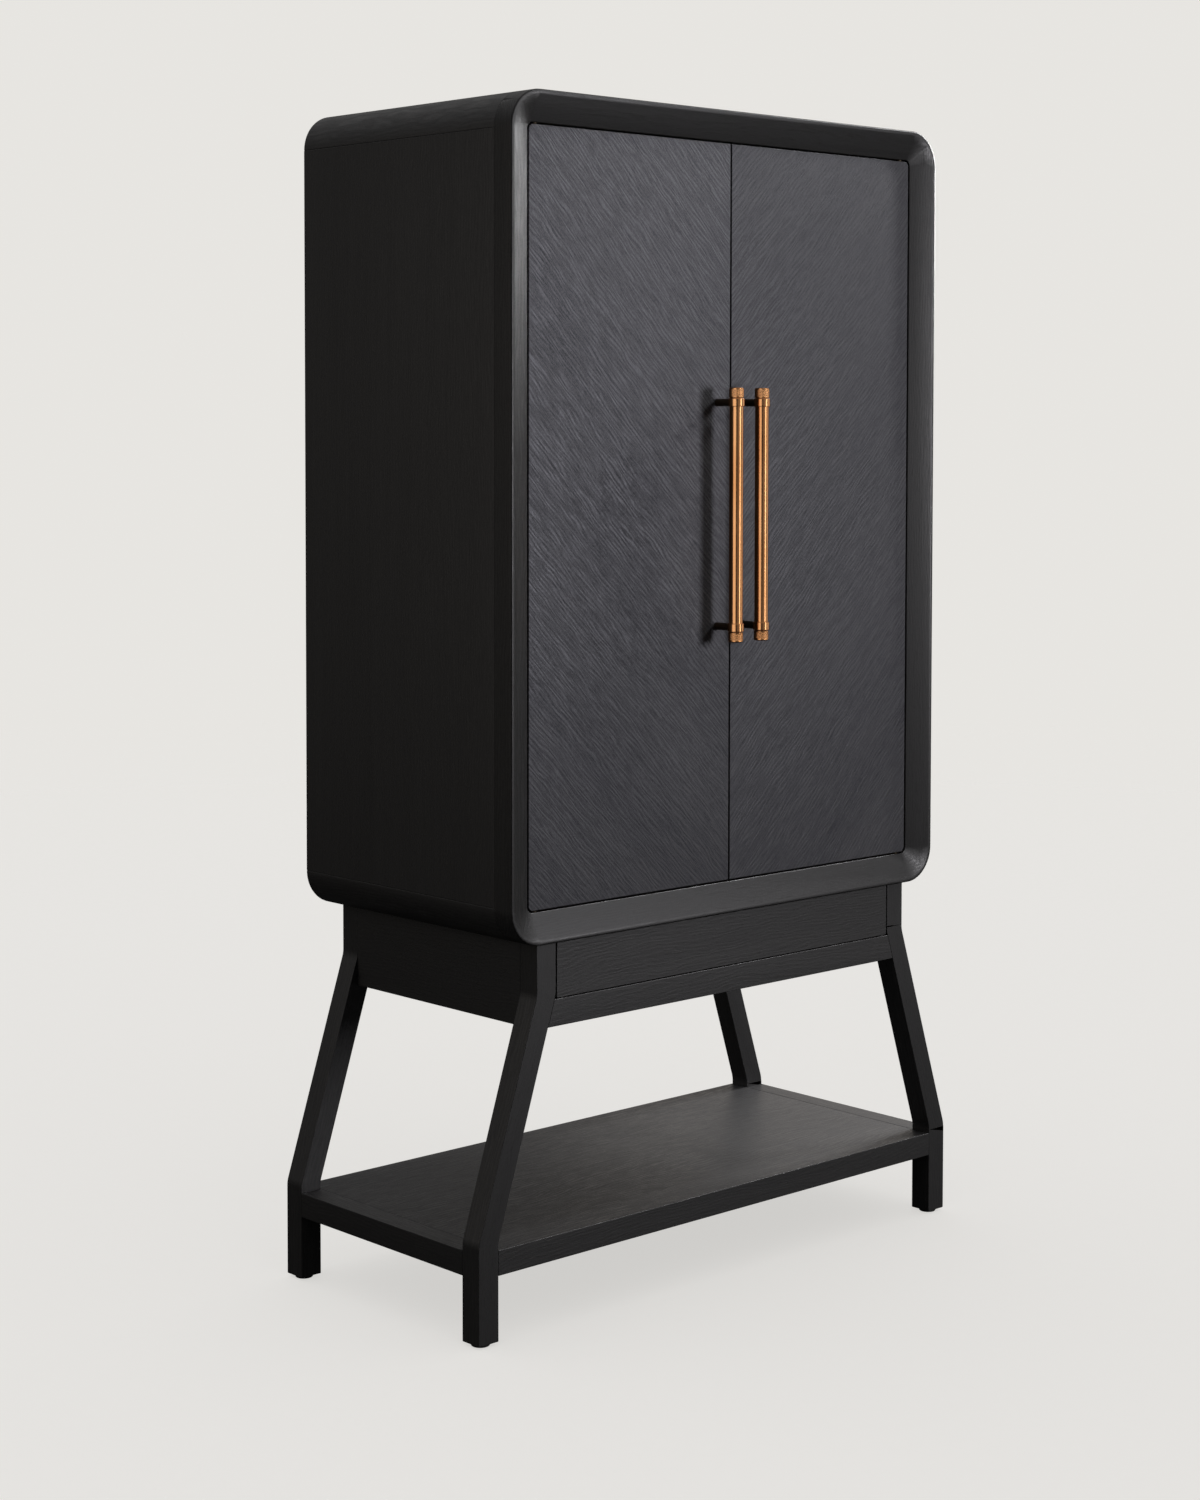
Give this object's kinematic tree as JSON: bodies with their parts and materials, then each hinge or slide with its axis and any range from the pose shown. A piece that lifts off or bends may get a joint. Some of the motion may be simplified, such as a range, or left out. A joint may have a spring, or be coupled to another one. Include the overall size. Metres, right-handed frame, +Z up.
{
  "type": "two-door cabinet on stand",
  "caption": "Tall two-door cabinet with rounded corners and a bevelled front frame, on a splayed stand with a hidden drawer and a low shelf.",
  "frame": {"origin": "on the floor under the middle of the overall bounding box, handles included", "axes": "+X to the viewer's right, +Y from the doors to the back, +Z up"},
  "size_m": [1.045, 0.536, 1.84],
  "materials": {
    "case_oak": "open-grain ebonised oak, satin lacquer",
    "frame_oak": "open-grain ebonised oak, satin lacquer",
    "door_veneer": "diagonal open-grain oak veneer, ebonised, satin lacquer",
    "stand_oak": "open-grain ebonised oak, satin lacquer",
    "drawer_front_oak": "open-grain ebonised oak, satin lacquer",
    "inside_oak": "dark stained oak, matt",
    "handle_brass": "warm polished brass, lightly brushed",
    "handle_bronze": "dark patinated bronze, satin",
    "hinge_bronze": "dark patinated bronze, satin",
    "hardware_steel": "zinc-plated steel",
    "black_plastic": "moulded nylon"
  },
  "bodies": {
    "cabinet": {"case_top": "case_oak", "case_bottom": "case_oak", "case_side_left": "case_oak", "case_side_right": "case_oak", "corner_stave_top_left": "case_oak", "corner_stave_top_right": "case_oak", "corner_stave_bottom_left": "case_oak", "corner_stave_bottom_right": "case_oak", "frame_rail_top": "frame_oak", "frame_rail_bottom": "frame_oak", "frame_stile_left": "frame_oak", "frame_stile_right": "frame_oak", "back_panel": "inside_oak", "back_panel_screws": "hardware_steel", "inner_shelves": "inside_oak", "shelf_pins": "hardware_steel", "hinge_plates_fixed": "hinge_bronze", "hinge_screws_fixed": "hinge_bronze", "magnet_catches": "black_plastic", "leg_front_left": "stand_oak", "leg_front_right": "stand_oak", "leg_back_left": "stand_oak", "leg_back_right": "stand_oak", "apron_left": "stand_oak", "apron_right": "stand_oak", "apron_back": "stand_oak", "front_rail": "stand_oak", "runner_cleats": "inside_oak", "case_bolts": "hardware_steel", "floor_glides": "black_plastic", "low_shelf_panel": "stand_oak", "low_shelf_end_left": "stand_oak", "low_shelf_end_right": "stand_oak", "slide_outers": "hardware_steel", "latch_housing": "black_plastic"},
    "left_door": {"door_left": "door_veneer", "hinge_plates_left": "hinge_bronze", "hinge_screws_left": "hinge_bronze", "strike_plate_left": "hardware_steel", "handle_bar_left": "handle_brass", "handle_caps_left": "handle_brass", "handle_posts_left": "handle_bronze", "handle_bolts_left": "hardware_steel"},
    "right_door": {"door_right": "door_veneer", "hinge_plates_right": "hinge_bronze", "hinge_screws_right": "hinge_bronze", "strike_plate_right": "hardware_steel", "handle_bar_right": "handle_brass", "handle_caps_right": "handle_brass", "handle_posts_right": "handle_bronze", "handle_bolts_right": "hardware_steel"},
    "drawer": {"slide_inners": "hardware_steel", "drawer_front": "drawer_front_oak", "drawer_side_left": "inside_oak", "drawer_side_right": "inside_oak", "drawer_back": "inside_oak", "drawer_bottom": "inside_oak"},
    "slide_middle": {"slide_middles": "hardware_steel"},
    "latch_plunger": {"latch_plunger": "black_plastic"}
  },
  "joints": [
    {"name": "left_door_hinge", "type": "hinge", "parent": "cabinet", "child": "left_door", "pos_m": [-0.405, -0.206, 1.212], "axis": [0, 0, -1], "range_deg": [0, 110]},
    {"name": "right_door_hinge", "type": "hinge", "parent": "cabinet", "child": "right_door", "pos_m": [0.405, -0.206, 1.212], "axis": [0, 0, 1], "range_deg": [0, 110]},
    {"name": "drawer_slide", "type": "slide", "parent": "cabinet", "child": "drawer", "axis": [0, -1, 0], "range_m": [0, 0.36]},
    {"name": "middle_slide", "type": "slide", "parent": "cabinet", "child": "slide_middle", "axis": [0, -1, 0], "range_m": [0, 0.18]},
    {"name": "latch_press", "type": "slide", "parent": "cabinet", "child": "latch_plunger", "axis": [0, 1, 0], "range_m": [0, 0.003], "stiffness_N_per_m": 200, "springref_m": -0.002}
  ],
  "couplings": [
    {"joint": "middle_slide", "follows": "drawer_slide", "ratio": 0.5}
  ]
}
